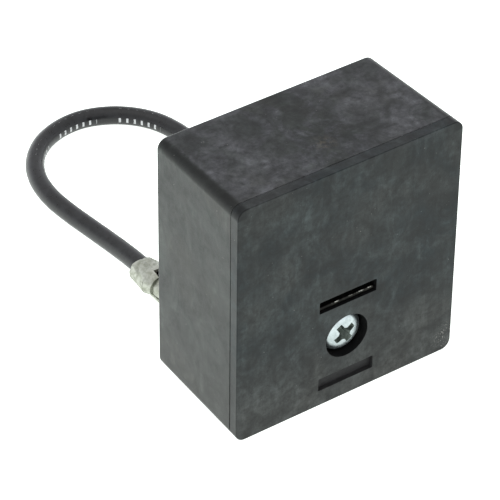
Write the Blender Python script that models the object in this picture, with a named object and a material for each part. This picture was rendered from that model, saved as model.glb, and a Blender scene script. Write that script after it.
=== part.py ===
"""Potted surge protector module with one screw terminal and a flying lead.

The moulded box stands on the XY plane with its front cover facing -Y. The origin is at the
bottom centre of the box. Lengths are in millimetres until mesh_object turns them into metres.
"""
from math import cos, pi, radians, sin, tau

import bmesh
import bpy
from mathutils import Vector

# ---- driving dimensions, mm -------------------------------------------------------------
BOX_WIDTH = 53.6                # at the cover's face; the case tapers towards the rear
BOX_HEIGHT = 58.0
BOX_DEPTH = 29.0
SIDE_DRAFT = 0.72               # each side's taper over the box's depth
TOP_DRAFT = 0.87
CORNER_RADIUS = 2.2
FRONT_EDGE_RADIUS = 0.2
REAR_EDGE_RADIUS = 0.6
COVER_THICKNESS = 2.45
WALL = 2.0
GAP = 0.3                       # between pieces that touch
CORNER_STEPS = 5
EDGE_STEPS = 3

SCREW_HEIGHT = 15.5             # screw axis above the base
COUNTERBORE = 10.2
HEAD_DIAMETER = 9.5             # M5 pan head
HEAD_HEIGHT = 3.7
THREAD_DIAMETER = 5.0
SCREW_LENGTH = 12.0
HEAD_SUNK = 0.7                 # crown below the cover's face
RECESS_ANGLE = 32.0             # degrees, of the cross recess at rest
SPRING_WASHER = (5.4, 9.2, 1.2)  # inner and outer diameter, thickness
FLAT_WASHER = (5.6, 10.0, 1.0)
PLATE_THICKNESS = 0.8
NUT_SIZE = (11.0, 4.5)          # across flats, thickness

SLOT_OFFSET = 10.0              # slot centres above and below the screw
SLOT_SIZE = (13.9, 2.9)
BLIND_SLOT_SIZE = (13.5, 3.1)
BLIND_SLOT_DEPTH = 1.0
TONGUE_SUNK = 0.6               # contact tongue's edge below the cover's face
TONGUE_CLEARANCE = 0.15         # under the tongue, inside the slot
TONGUE_WIDTH = 13.2

INSIDE_X = 23.8                 # half width left for the inner pieces
INSIDE_TOP = 54.9
BOARD_THICKNESS = 1.6
BOARD_BACK = 4.1                # board's rear side ahead of the box's rear face
BOARD_POST_X = (-20.0, 8.0)
BOARD_POST_HEIGHT = 5.2
BARRIER_HEIGHT = 27.6
DISC_DIAMETER = 15.5
DISC_THICKNESS = 4.6

WIRE_DIAMETER = 4.2
CONDUCTOR_DIAMETER = 2.3
LEAD_X = 17.0
LEAD_HEIGHT = 9.0
GROMMET_TAIL = 14.0             # tapered part behind the rear face
GROMMET_FLANGE = 10.8
FLANGE_RECESS = (11.6, 0.4)     # diameter and depth of the seat in the rear face
TERMINAL_X = -13.7
TERMINAL_AXIS = 3.4             # barrel axis above the base
TERMINAL_START = 39.2           # Y of the barrel's open end
INSULATION_BARREL = (6.6, 5.4)  # outer diameter, length
CONDUCTOR_BARREL = (4.9, 5.6)
BARREL_GAP = 1.3                # window between the two barrels
RING_TO_BARREL = 7.2
RING_DIAMETER = 9.6
RING_HOLE = 5.3
WIRE_END = TERMINAL_START - INSULATION_BARREL[1] + 0.2

FRONT = -BOX_DEPTH / 2
REAR = BOX_DEPTH / 2
COVER_BACK = FRONT + COVER_THICKNESS - GAP / 2
BODY_FRONT = FRONT + COVER_THICKNESS + GAP / 2
INNER_REAR = REAR - WALL - 0.2
SEAT = FRONT + HEAD_SUNK + HEAD_HEIGHT
SPRING_WASHER_FRONT = SEAT + GAP
FLAT_WASHER_FRONT = SPRING_WASHER_FRONT + SPRING_WASHER[2] + GAP
PLATE_FRONT = FLAT_WASHER_FRONT + FLAT_WASHER[2] + GAP
PLATE_BACK = PLATE_FRONT + PLATE_THICKNESS
NUT_FRONT = PLATE_BACK + GAP
NUT_BACK = NUT_FRONT + NUT_SIZE[1]
BOARD_REAR = REAR - BOARD_BACK
BOARD_FRONT = BOARD_REAR - BOARD_THICKNESS
GROMMET_TIP = REAR + GROMMET_TAIL
BARREL_END = TERMINAL_START - INSULATION_BARREL[1] - BARREL_GAP - CONDUCTOR_BARREL[1]
RING_Y = BARREL_END - RING_TO_BARREL    # centre of the ring

# Centre line of the free lead, mm: out of the grommet, down to the surface that the box
# stands on, back in a flat loop and into the ring terminal's barrel.
LEAD_ROUTE = [
    (17.0, 28.8, 9.0), (17.2, 34.0, 8.7), (17.6, 40.0, 7.2), (18.2, 46.0, 4.9),
    (18.9, 52.0, 3.0), (19.6, 58.0, 2.25), (20.2, 64.5, 2.15), (20.5, 71.0, 2.15),
    (20.0, 77.0, 2.15), (18.2, 82.6, 2.15), (14.9, 87.2, 2.15), (10.2, 90.7, 2.15),
    (4.3, 92.6, 2.15), (-1.9, 92.1, 2.15), (-7.8, 89.4, 2.15), (-12.5, 84.5, 2.15),
    (-15.2, 78.4, 2.15), (-16.1, 71.7, 2.15), (-15.7, 65.0, 2.15), (-14.9, 58.4, 2.25),
    (-14.2, 51.8, 2.5), (-13.8, 45.2, 3.0), (-13.7, 39.4, 3.4), (-13.7, 34.0, 3.4),
]
LEAD_POINTS = 26

COLOURS = {                     # name: (colour, roughness, metallic)
    "housing_plastic": ((0.055, 0.058, 0.060), 0.62, 0.0),
    "cover_plastic": ((0.050, 0.055, 0.058), 0.60, 0.0),
    "zinc_steel": ((0.72, 0.74, 0.75), 0.32, 1.0),
    "spring_steel": ((0.42, 0.42, 0.43), 0.38, 1.0),
    "tinned_copper": ((0.66, 0.65, 0.62), 0.36, 1.0),
    "brass": ((0.72, 0.55, 0.26), 0.34, 1.0),
    "board_laminate": ((0.06, 0.20, 0.10), 0.55, 0.0),
    "varistor_coating": ((0.03, 0.12, 0.38), 0.45, 0.0),
    "capacitor_case": ((0.62, 0.50, 0.10), 0.50, 0.0),
    "resistor_coating": ((0.45, 0.60, 0.62), 0.50, 0.0),
    "fibre_sheet": ((0.30, 0.26, 0.20), 0.80, 0.0),
    "potting_resin": ((0.025, 0.025, 0.028), 0.35, 0.0),
    "grommet_rubber": ((0.020, 0.020, 0.022), 0.55, 0.0),
    "wire_pvc": ((0.015, 0.016, 0.018), 0.28, 0.0),
    "bare_copper": ((0.70, 0.38, 0.24), 0.38, 1.0),
}


# ---- helpers ----------------------------------------------------------------------------
def clear_scene():
    """Remove the start-up objects."""
    for obj in list(bpy.data.objects):
        bpy.data.objects.remove(obj, do_unlink=True)


def material(name):
    """Principled material of the named finish, made once."""
    found = bpy.data.materials.get(name)
    if found:
        return found
    colour, roughness, metallic = COLOURS[name]
    made = bpy.data.materials.new(name)
    made.use_nodes = True
    shader = made.node_tree.nodes["Principled BSDF"]
    shader.inputs["Base Color"].default_value = (*colour, 1.0)
    shader.inputs["Roughness"].default_value = roughness
    shader.inputs["Metallic"].default_value = metallic
    made.diffuse_color = (*colour, 1.0)
    return made


def mesh_object(name, bm, finish, at=(0, 0, 0), smooth=False):
    """Turn a bmesh in millimetres into an object in metres, placed at a point in mm."""
    bmesh.ops.recalc_face_normals(bm, faces=bm.faces)
    bmesh.ops.scale(bm, vec=(0.001, 0.001, 0.001), verts=bm.verts)
    mesh = bpy.data.meshes.new(name)
    bm.to_mesh(mesh)
    bm.free()
    if smooth:
        mesh.shade_smooth()
        mesh.set_sharp_from_angle(angle=radians(35))
    obj = bpy.data.objects.new(name, mesh)
    obj.location = Vector(at) * 0.001
    bpy.context.scene.collection.objects.link(obj)
    if finish:
        mesh.materials.append(material(finish))
    return obj


def loft(rings):
    """Closed body through rings of equally many points, capped at both ends."""
    bm = bmesh.new()
    rows = [[bm.verts.new(point) for point in ring] for ring in rings]
    count = len(rings[0])
    for row, following in zip(rows, rows[1:]):
        for i in range(count):
            j = (i + 1) % count
            bm.faces.new((row[i], row[j], following[j], following[i]))
    bm.faces.new(rows[0])
    bm.faces.new(rows[-1])
    return bm


def lathe(profile, segments):
    """Closed body turned about the Y axis from (radius, y) points; both ends are capped."""
    turn = [tau * i / segments for i in range(segments)]
    return loft([[(r * cos(a), y, r * sin(a)) for a in turn] for r, y in profile])


def ring_lathe(profile, segments):
    """Closed ring turned about the Y axis from a closed (radius, y) section."""
    bm = bmesh.new()
    rows = []
    for i in range(segments):
        a = tau * i / segments
        rows.append([bm.verts.new((r * cos(a), y, r * sin(a))) for r, y in profile])
    for i in range(segments):
        row, following = rows[i], rows[(i + 1) % segments]
        for k in range(len(profile)):
            m = (k + 1) % len(profile)
            bm.faces.new((row[k], row[m], following[m], following[k]))
    return bm


def rounded_outline(width, height, radius, steps=CORNER_STEPS):
    """Rounded rectangle about the origin as (x, z) points."""
    points = []
    for quarter, (sx, sz) in enumerate([(1, 1), (-1, 1), (-1, -1), (1, -1)]):
        cx, cz = sx * (width / 2 - radius), sz * (height / 2 - radius)
        for k in range(steps + 1):
            a = pi / 2 * (quarter + k / steps)
            points.append((cx + radius * cos(a), cz + radius * sin(a)))
    return points


def box_ring(inset, y):
    """Ring of the drafted box's outline, moved in by inset, at depth y."""
    part = (y - FRONT) / BOX_DEPTH
    width = BOX_WIDTH - 2 * SIDE_DRAFT * part
    height = BOX_HEIGHT - TOP_DRAFT * part
    outline = rounded_outline(width - 2 * inset, height - 2 * inset,
                              max(CORNER_RADIUS - inset, 0.4))
    return [(x, y, z + height / 2) for x, z in outline]


def rounded_edge(face_y, direction, radius):
    """Rings of the box's outline that round the edge of an end face."""
    rings = []
    for k in range(EDGE_STEPS + 1):
        a = pi / 2 * k / EDGE_STEPS
        inset = radius * (1 - sin(a))
        rings.append(box_ring(inset, face_y + direction * radius * (1 - cos(a))))
    return rings


def block(low, high):
    """Rectangular body between two corners."""
    (x0, y0, z0), (x1, y1, z1) = low, high
    corners = [(x0, z0), (x1, z0), (x1, z1), (x0, z1)]
    return loft([[(x, y, z) for x, z in corners] for y in (y0, y1)])


def prism(outline, low, high, axis):
    """Body with the given 2-D outline, drawn out from low to high along one axis."""
    place = {
        "x": lambda a, b, t: (t, a, b),
        "y": lambda a, b, t: (a, t, b),
        "z": lambda a, b, t: (a, b, t),
    }[axis]
    return loft([[place(a, b, t) for a, b in outline] for t in (low, high)])


def tool(obj):
    """Mark an object as a cutter or an addition, which is no piece by itself."""
    obj.hide_render = True
    obj.display_type = "WIRE"
    return obj


def combine(obj, bm, operation, at=(0, 0, 0)):
    """Cut a body out of an object, or join it on, with an exact Boolean."""
    other = tool(mesh_object(obj.name + "_tool", bm, None, at))
    modifier = obj.modifiers.new(operation.lower(), "BOOLEAN")
    modifier.operation = operation
    modifier.object = other
    modifier.solver = "EXACT"


def cut(obj, bm, at=(0, 0, 0)):
    combine(obj, bm, "DIFFERENCE", at)


def add(obj, bm, at=(0, 0, 0)):
    combine(obj, bm, "UNION", at)


def cylinder(diameter, y0, y1, segments=32):
    return lathe([(diameter / 2, y0), (diameter / 2, y1)], segments)


def parent_to(obj, empty):
    """Parent an object without moving it."""
    obj.parent = empty
    obj.matrix_parent_inverse = empty.matrix_basis.inverted()


# ---- moulded case -----------------------------------------------------------------------
def make_housing():
    """Cup, open at the front, with the nut post, two board posts and the lead hole."""
    outside = rounded_edge(REAR, -1, REAR_EDGE_RADIUS)
    inside = [box_ring(WALL, BODY_FRONT), box_ring(WALL, INNER_REAR)]
    rings = outside + [box_ring(0, BODY_FRONT)] + inside
    housing = mesh_object("housing", loft(rings), "housing_plastic", smooth=True)
    half = NUT_SIZE[0] / 2 + 1.0
    add(housing, block((-half, NUT_BACK - 2.0, SCREW_HEIGHT - half),
                       (half, INNER_REAR + 0.5, SCREW_HEIGHT + half)))
    pocket = NUT_SIZE[0] / 2 + GAP
    cut(housing, block((-pocket, NUT_BACK - 3.0, SCREW_HEIGHT - pocket),
                       (pocket, NUT_BACK + GAP, SCREW_HEIGHT + pocket)))
    cut(housing, cylinder(6.4, NUT_BACK - 1.0, NUT_BACK + 6.0), (0, 0, SCREW_HEIGHT))
    for x in BOARD_POST_X:
        add(housing, cylinder(6.0, BOARD_REAR + GAP, INNER_REAR + 0.5, 20),
            (x, 0, BOARD_POST_HEIGHT))
        cut(housing, cylinder(3.2, BOARD_REAR - 1.0, REAR - 1.4, 16),
            (x, 0, BOARD_POST_HEIGHT))
    cut(housing, cylinder(8.2, INNER_REAR - 1.0, REAR + 1.0, 32), (LEAD_X, 0, LEAD_HEIGHT))
    cut(housing, cylinder(FLANGE_RECESS[0], REAR - FLANGE_RECESS[1], REAR + 1.0, 48),
        (LEAD_X, 0, LEAD_HEIGHT))


def make_front_cover():
    """Face plate with counterbore, through slot, blind slot, locating rim and shroud."""
    rings = rounded_edge(FRONT, 1, FRONT_EDGE_RADIUS) + [box_ring(0, COVER_BACK)]
    cover = mesh_object("front_cover", loft(rings), "cover_plastic", smooth=True)
    rim_out, rim_in = WALL + GAP, WALL + GAP + 1.3
    add(cover, loft([box_ring(rim_out, COVER_BACK - 0.5), box_ring(rim_out, COVER_BACK + 2.0),
                     box_ring(rim_in, COVER_BACK + 2.0), box_ring(rim_in, COVER_BACK - 0.5)]))
    add(cover, cylinder(13.0, COVER_BACK - 0.5, FLAT_WASHER_FRONT - GAP, 48),
        (0, 0, SCREW_HEIGHT))
    cut(cover, cylinder(COUNTERBORE, FRONT - 1.0, FLAT_WASHER_FRONT + 1.0, 48),
        (0, 0, SCREW_HEIGHT))
    slot_w, slot_h = SLOT_SIZE
    z = SCREW_HEIGHT + SLOT_OFFSET
    cut(cover, block((-slot_w / 2, FRONT - 1.0, z - slot_h / 2),
                     (slot_w / 2, COVER_BACK + 3.0, z + slot_h / 2)))
    slot_w, slot_h = BLIND_SLOT_SIZE
    z = SCREW_HEIGHT - SLOT_OFFSET
    cut(cover, block((-slot_w / 2, FRONT - 1.0, z - slot_h / 2),
                     (slot_w / 2, FRONT + BLIND_SLOT_DEPTH, z + slot_h / 2)))


# ---- screw terminal ---------------------------------------------------------------------
def make_screw(axis):
    """M5 pan head screw with a cross recess, about the joint's axis."""
    crown = -HEAD_HEIGHT
    radius = HEAD_DIAMETER / 2
    profile = [(0.9, crown)]
    for k in range(1, 7):
        a = pi / 2 * k / 6
        profile.append((0.9 + (radius - 0.9) * sin(a) ** 0.75, crown + 2.2 * (1 - cos(a))))
    profile += [(radius, -0.35), (radius - 0.3, 0.0), (THREAD_DIAMETER / 2, 0.0)]
    tip = SCREW_LENGTH
    profile += [(THREAD_DIAMETER / 2, tip - 0.7), (THREAD_DIAMETER / 2 - 0.7, tip)]
    screw = mesh_object("terminal_screw", lathe(profile, 40), "zinc_steel",
                        (0, SEAT, SCREW_HEIGHT), smooth=True)
    for turn in (0, 90):
        bm = bmesh.new()
        arm = recess_arm(crown)
        rows = [[bm.verts.new(p) for p in ring] for ring in arm]
        for i in range(4):
            j = (i + 1) % 4
            bm.faces.new((rows[0][i], rows[0][j], rows[1][j], rows[1][i]))
        bm.faces.new(rows[0])
        bm.faces.new(rows[1])
        turn_about_y(bm, RECESS_ANGLE + turn)
        cut(screw, bm, (0, SEAT, SCREW_HEIGHT))
    parent_to(screw, axis)


def recess_arm(crown):
    """Two rings of one tapered bar of the cross recess."""
    rings = []
    for y, half_length, half_width in ((crown - 0.5, 3.0, 0.85), (crown + 2.4, 1.2, 0.50)):
        rings.append([(-half_length, y, -half_width), (half_length, y, -half_width),
                      (half_length, y, half_width), (-half_length, y, half_width)])
    return rings


def turn_about_y(bm, degrees):
    """Turn a body anticlockwise as seen from the front."""
    a = radians(degrees)
    for vert in bm.verts:
        x, y, z = vert.co
        vert.co = (x * cos(a) - z * sin(a), y, x * sin(a) + z * cos(a))


def make_spring_washer(axis):
    """Split lock washer: a C-shaped ring with a narrow slit."""
    inner, outer, thickness = SPRING_WASHER
    start, end, steps = radians(6), radians(350), 40
    rings = []
    for k in range(steps + 1):
        a = start + (end - start) * k / steps
        section = [(inner / 2, 0), (outer / 2, 0), (outer / 2, thickness), (inner / 2, thickness)]
        rings.append([(r * cos(a), y, r * sin(a)) for r, y in section])
    washer = mesh_object("spring_washer", loft(rings), "spring_steel",
                         (0, SPRING_WASHER_FRONT, SCREW_HEIGHT))
    parent_to(washer, axis)


def make_flat_washer(axis):
    inner, outer, thickness = FLAT_WASHER
    section = [(inner / 2, 0), (outer / 2, 0), (outer / 2, thickness), (inner / 2, thickness)]
    washer = mesh_object("flat_washer", ring_lathe(section, 40), "zinc_steel",
                         (0, FLAT_WASHER_FRONT, SCREW_HEIGHT), smooth=True)
    parent_to(washer, axis)


def make_terminal_plate():
    """Bent contact plate: clamped under the washers, with a tongue behind the slot."""
    low = SCREW_HEIGHT - 6.2
    bend = SCREW_HEIGHT + SLOT_OFFSET - SLOT_SIZE[1] / 2 + TONGUE_CLEARANCE
    tongue_front = FRONT + TONGUE_SUNK
    outline = [
        (PLATE_FRONT, low), (PLATE_BACK, low), (PLATE_BACK, bend + PLATE_THICKNESS),
        (tongue_front, bend + PLATE_THICKNESS), (tongue_front, bend), (PLATE_FRONT, bend),
    ]
    half = TONGUE_WIDTH / 2
    plate = mesh_object("terminal_plate", prism(outline, -half, half, "x"), "tinned_copper")
    cut(plate, cylinder(5.6, PLATE_FRONT - 1.0, PLATE_BACK + 1.0, 32), (0, 0, SCREW_HEIGHT))


def make_terminal_nut():
    """Square brass nut held in the housing's post."""
    half = NUT_SIZE[0] / 2
    nut = mesh_object("terminal_nut", block((-half, NUT_FRONT, SCREW_HEIGHT - half),
                                            (half, NUT_BACK, SCREW_HEIGHT + half)), "brass")
    cut(nut, cylinder(5.6, NUT_FRONT - 1.0, NUT_BACK + 1.0, 32), (0, 0, SCREW_HEIGHT))


def make_line_strap():
    """Copper strap from the terminal plate back to the board."""
    y0, thickness = PLATE_BACK + GAP, 0.8
    outline = [(-1.0, y0), (-1.0, y0 + thickness), (-8.0, y0 + thickness),
               (-8.0, BOARD_FRONT - GAP), (-8.8, BOARD_FRONT - GAP), (-8.8, y0)]
    mesh_object("line_strap", prism(outline, 22.0, 24.0, "z"), "tinned_copper")


# ---- electronics ------------------------------------------------------------------------
def make_circuit_board():
    """Board with a window for the nut post, a lead hole and two screw holes."""
    board = mesh_object("circuit_board",
                        block((-INSIDE_X, BOARD_FRONT, 2.6), (INSIDE_X, BOARD_REAR, INSIDE_TOP)),
                        "board_laminate")
    half = NUT_SIZE[0] / 2 + 1.0 + GAP
    cut(board, block((-half, BOARD_FRONT - 1, SCREW_HEIGHT - half),
                     (half, BOARD_REAR + 1, SCREW_HEIGHT + half)))
    cut(board, cylinder(WIRE_DIAMETER + 2 * GAP, BOARD_FRONT - 1, BOARD_REAR + 1, 24),
        (LEAD_X, 0, LEAD_HEIGHT))
    for x in BOARD_POST_X:
        cut(board, cylinder(3.2, BOARD_FRONT - 1, BOARD_REAR + 1, 16),
            (x, 0, BOARD_POST_HEIGHT))


def make_board_screws():
    for side, x in zip(("left", "right"), BOARD_POST_X):
        head = BOARD_FRONT - GAP
        profile = [(1.4, head - 1.6), (2.3, head - 1.1), (2.4, head), (1.25, head),
                   (1.25, REAR - 2.0), (0.8, REAR - 1.7)]
        screw = mesh_object("board_screw_" + side, lathe(profile, 20), "zinc_steel",
                            (x, 0, BOARD_POST_HEIGHT), smooth=True)
        cut(screw, block((-2.6, head - 2.0, -0.3), (2.6, head - 1.0, 0.3)),
            (x, 0, BOARD_POST_HEIGHT))


def make_varistor(index, x):
    """Coated disc standing on the board on two wire legs."""
    height = BARRIER_HEIGHT + 14.0
    middle = BOARD_FRONT - 3.4 - DISC_DIAMETER / 2
    radius, half = DISC_DIAMETER / 2, DISC_THICKNESS / 2
    turn = [tau * i / 32 for i in range(32)]
    rings = []
    for t, r in ((-half, radius - 1.2), (-half + 0.4, radius - 0.4), (-half + 1.2, radius),
                 (half - 1.2, radius), (half - 0.4, radius - 0.4), (half, radius - 1.2)):
        rings.append([(t, r * cos(a), r * sin(a)) for a in turn])
    disc = mesh_object(f"varistor_{index}", loft(rings), "varistor_coating",
                       (x, middle, height), smooth=True)
    for side in (-1, 1):
        leg = cylinder(0.9, middle + radius * 0.6, BOARD_FRONT - GAP, 12)
        add(disc, leg, (x, 0, height + side * 3.75))


def make_axial_part(name, finish, x, z, diameter, length):
    """Round body lying along Z with two bent legs down to the board."""
    y = BOARD_FRONT - 1.2 - diameter / 2
    turn = [tau * i / 24 for i in range(24)]
    r = diameter / 2
    rings = []
    for h, k in ((-length / 2, 0.75), (-length / 2 + 0.5, 1.0), (length / 2 - 0.5, 1.0),
                 (length / 2, 0.75)):
        rings.append([(k * r * cos(a), k * r * sin(a), h) for a in turn])
    body = mesh_object(name, loft(rings), finish, (x, y, z), smooth=True)
    for side in (-1, 1):
        low, high = sorted((side * (length / 2 - 0.4), side * (length / 2 + 2.4)))
        add(body, block((x - 0.35, y - 0.35, z + low), (x + 0.35, y + 0.35, z + high)))
        foot = side * (length / 2 + 2.05)
        add(body, block((x - 0.34, y - 0.34, z + foot - 0.34),
                        (x + 0.34, BOARD_FRONT - GAP, z + foot + 0.34)))


def make_film_capacitor():
    """Boxed capacitor with rounded edges on two legs."""
    case = prism(rounded_outline(9.0, 18.0, 0.8, 3), BOARD_FRONT - 15.6, BOARD_FRONT - 0.6, "y")
    capacitor = mesh_object("film_capacitor", case, "capacitor_case", (17.0, 0, 41.0))
    for side in (-1, 1):
        add(capacitor, cylinder(0.8, BOARD_FRONT - 1.2, BOARD_FRONT - GAP, 10),
            (17.0, 0, 41.0 + side * 7.5))


def make_insulating_barrier():
    """Fibre sheet between the screw terminal and the varistors."""
    mesh_object("insulating_barrier",
                block((-INSIDE_X, COVER_BACK + 2.4, BARRIER_HEIGHT),
                      (INSIDE_X, BOARD_FRONT - GAP, BARRIER_HEIGHT + 0.5)), "fibre_sheet")


def make_potting_compound():
    """Resin layer between the board and the rear wall."""
    front, rear = BOARD_REAR + GAP, INNER_REAR - GAP
    low = WALL + GAP
    outline = rounded_outline(2 * INSIDE_X, INSIDE_TOP - low, 0.8, 2)
    resin = mesh_object("potting_compound", prism(outline, front, rear, "y"),
                        "potting_resin", (0, 0, (low + INSIDE_TOP) / 2))
    half = NUT_SIZE[0] / 2 + 1.0 + GAP
    cut(resin, block((-half, front - 1, SCREW_HEIGHT - half),
                     (half, rear + 1, SCREW_HEIGHT + half)))
    cut(resin, cylinder(11.6, front - 1, rear + 1, 32), (LEAD_X, 0, LEAD_HEIGHT))
    for x in BOARD_POST_X:
        cut(resin, cylinder(6.0 + 2 * GAP, front - 1, rear + 1, 20), (x, 0, BOARD_POST_HEIGHT))


# ---- lead -------------------------------------------------------------------------------
def make_lead_grommet():
    """Rubber bushing in the rear wall with a tapered tail round the lead."""
    bore = WIRE_DIAMETER / 2 + GAP
    flange, body = GROMMET_FLANGE / 2, 4.1 - GAP
    inner = INNER_REAR - GAP
    seat = REAR - FLANGE_RECESS[1] + GAP
    section = [
        (bore, inner - 1.0), (flange, inner - 1.0), (flange, inner), (body, inner),
        (body, seat), (flange, seat), (flange, REAR + 1.7), (4.3, REAR + 2.3),
        (3.1, GROMMET_TIP - 0.5), (2.8, GROMMET_TIP), (bore, GROMMET_TIP),
    ]
    mesh_object("lead_grommet", ring_lathe(section, 32), "grommet_rubber",
                (LEAD_X, 0, LEAD_HEIGHT), smooth=True)


def make_inner_lead():
    """The lead's end inside the case and the grommet."""
    mesh_object("inner_lead", cylinder(WIRE_DIAMETER, 3.2, GROMMET_TIP, 24), "wire_pvc",
                (LEAD_X, 0, LEAD_HEIGHT), smooth=True)


def make_lead_lug():
    """Crimped lug on the lead's inner end, soldered to the board by its tab."""
    barrel = [(2.6, 2.9), (2.6, -2.6), (1.4, -3.0)]
    lug = mesh_object("lead_lug", lathe(barrel, 24), "tinned_copper",
                      (LEAD_X, 0, LEAD_HEIGHT), smooth=True)
    outline = [(-1.6, LEAD_HEIGHT + 2.0), (-1.6, LEAD_HEIGHT + 5.4), (6.8, LEAD_HEIGHT + 5.4),
               (6.8, LEAD_HEIGHT + 4.4), (-0.6, LEAD_HEIGHT + 4.4), (-0.6, LEAD_HEIGHT + 2.0)]
    outline = [(min(y, BOARD_FRONT - GAP), z) for y, z in outline]
    add(lug, prism(outline, LEAD_X - 1.8, LEAD_X + 1.8, "x"))


def smooth_route(points, count):
    """Evenly spaced points on a Catmull-Rom curve through the given points."""
    knots = [Vector(p) for p in points]
    knots = [2 * knots[0] - knots[1]] + knots + [2 * knots[-1] - knots[-2]]
    fine = []
    for p0, p1, p2, p3 in zip(knots, knots[1:], knots[2:], knots[3:]):
        for k in range(16):
            t = k / 16
            fine.append(0.5 * (2 * p1 + (p2 - p0) * t + (2 * p0 - 5 * p1 + 4 * p2 - p3) * t ** 2
                               + (3 * p1 - p0 - 3 * p2 + p3) * t ** 3))
    fine.append(knots[-2])
    lengths = [0.0]
    for a, b in zip(fine, fine[1:]):
        lengths.append(lengths[-1] + (b - a).length)
    result, at = [], 0
    for k in range(count):
        want = lengths[-1] * k / (count - 1)
        while at < len(fine) - 2 and lengths[at + 1] < want:
            at += 1
        part = (want - lengths[at]) / (lengths[at + 1] - lengths[at])
        result.append(fine[at].lerp(fine[at + 1], part))
    return result


def make_lead_wire():
    """The free stretch of the lead."""
    points = smooth_route(LEAD_ROUTE, LEAD_POINTS)
    curve = bpy.data.curves.new("lead_wire", "CURVE")
    curve.dimensions = "3D"
    spline = curve.splines.new("POLY")
    spline.points.add(len(points) - 1)
    for target, point in zip(spline.points, points):
        target.co = (*(point * 0.001), 1.0)
    curve.bevel_depth = WIRE_DIAMETER / 2 * 0.001
    curve.bevel_resolution = 3
    curve.use_fill_caps = True
    curve.materials.append(material("wire_pvc"))
    wire = bpy.data.objects.new("lead_wire", curve)
    bpy.context.scene.collection.objects.link(wire)


def make_lead_conductor():
    """Bare strands inside the ring terminal's barrel."""
    start = BARREL_END - 0.6
    mesh_object("lead_conductor", cylinder(CONDUCTOR_DIAMETER, start, WIRE_END - GAP, 16),
                "bare_copper", (TERMINAL_X, 0, TERMINAL_AXIS), smooth=True)


def tube(outer, inner, y0, y1):
    section = [(inner / 2, y0), (outer / 2, y0), (outer / 2, y1), (inner / 2, y1)]
    return ring_lathe(section, 28)


def make_ring_terminal():
    """Ring tongue, conductor barrel and wider insulation barrel in one stamping."""
    at = (TERMINAL_X, 0, TERMINAL_AXIS)
    ring_radius, neck, neck_end = RING_DIAMETER / 2, 2.3, BARREL_END + 2.0
    low, high = 0.1, 1.0
    arc = []
    opening = radians(62)
    for k in range(25):
        a = pi / 2 + opening / 2 + (tau - opening) * k / 24
        arc.append((TERMINAL_X + ring_radius * cos(a), RING_Y + ring_radius * sin(a)))
    outline = arc + [(TERMINAL_X + neck, neck_end), (TERMINAL_X - neck, neck_end)]
    terminal = mesh_object("ring_terminal", prism(outline, low, high, "z"), "tinned_copper",
                           smooth=True)
    hole = [(RING_HOLE / 2 * cos(tau * i / 28), RING_HOLE / 2 * sin(tau * i / 28))
            for i in range(28)]
    cut(terminal, prism(hole, low - 1.0, high + 1.0, "z"), (TERMINAL_X, RING_Y, 0))
    diameter, length = CONDUCTOR_BARREL
    add(terminal, tube(diameter, CONDUCTOR_DIAMETER + 2 * GAP, BARREL_END, BARREL_END + length),
        at)
    diameter, length = INSULATION_BARREL
    add(terminal, tube(diameter, WIRE_DIAMETER + 2 * GAP, TERMINAL_START - length,
                       TERMINAL_START), at)
    add(terminal, block((TERMINAL_X - 2.2, BARREL_END + 1.0, low + 0.02),
                        (TERMINAL_X + 2.2, TERMINAL_START - length + 1.0, 0.9)))


def make_electronics():
    make_circuit_board()
    make_board_screws()
    for index, x in enumerate((-20.0, -12.6, -5.2), start=1):
        make_varistor(index, x)
    make_axial_part("thermal_cutoff", "tinned_copper", 4.0, 41.0, 4.0, 10.5)
    make_axial_part("bleed_resistor", "resistor_coating", -17.0, 16.5, 3.2, 8.5)
    make_film_capacitor()
    make_insulating_barrier()
    make_potting_compound()


def main():
    clear_scene()
    make_housing()
    make_front_cover()
    screw_axis = bpy.data.objects.new("screw_axis", None)
    screw_axis.location = Vector((0, SEAT, SCREW_HEIGHT)) * 0.001
    bpy.context.scene.collection.objects.link(screw_axis)
    make_screw(screw_axis)
    make_spring_washer(screw_axis)
    make_flat_washer(screw_axis)
    make_terminal_plate()
    make_terminal_nut()
    make_line_strap()
    make_electronics()
    make_lead_grommet()
    make_inner_lead()
    make_lead_lug()
    make_lead_wire()
    make_lead_conductor()
    make_ring_terminal()


main()
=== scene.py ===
"""Looks of the potted surge protector module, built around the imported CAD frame.

Lengths in the shape functions are in millimetres; mesh_object turns them into metres.
"""
from math import cos, pi, radians, sin, tau

import bmesh
import bpy
from mathutils import Matrix, Vector, noise


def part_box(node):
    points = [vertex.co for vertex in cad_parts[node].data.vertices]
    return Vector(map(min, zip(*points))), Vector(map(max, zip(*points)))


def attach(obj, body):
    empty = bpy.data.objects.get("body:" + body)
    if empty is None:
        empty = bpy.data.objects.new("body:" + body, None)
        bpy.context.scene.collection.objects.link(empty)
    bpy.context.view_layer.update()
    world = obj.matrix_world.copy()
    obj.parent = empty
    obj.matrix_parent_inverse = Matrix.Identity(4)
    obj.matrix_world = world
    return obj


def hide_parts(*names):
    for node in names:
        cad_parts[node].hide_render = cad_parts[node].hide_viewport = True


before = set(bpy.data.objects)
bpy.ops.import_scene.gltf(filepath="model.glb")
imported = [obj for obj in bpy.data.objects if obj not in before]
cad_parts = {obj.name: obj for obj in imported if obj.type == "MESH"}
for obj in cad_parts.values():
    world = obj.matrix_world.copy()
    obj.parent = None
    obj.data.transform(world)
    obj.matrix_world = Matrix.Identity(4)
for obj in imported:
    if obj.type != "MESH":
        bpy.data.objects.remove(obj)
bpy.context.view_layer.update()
MM = 0.001
BODY_CASE, BODY_WASHERS, BODY_SCREW = "case", "washers", "screw"


def corners(node):
    """Lowest and highest corner of a CAD node, in millimetres."""
    low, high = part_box(node)
    return low / MM, high / MM


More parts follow.
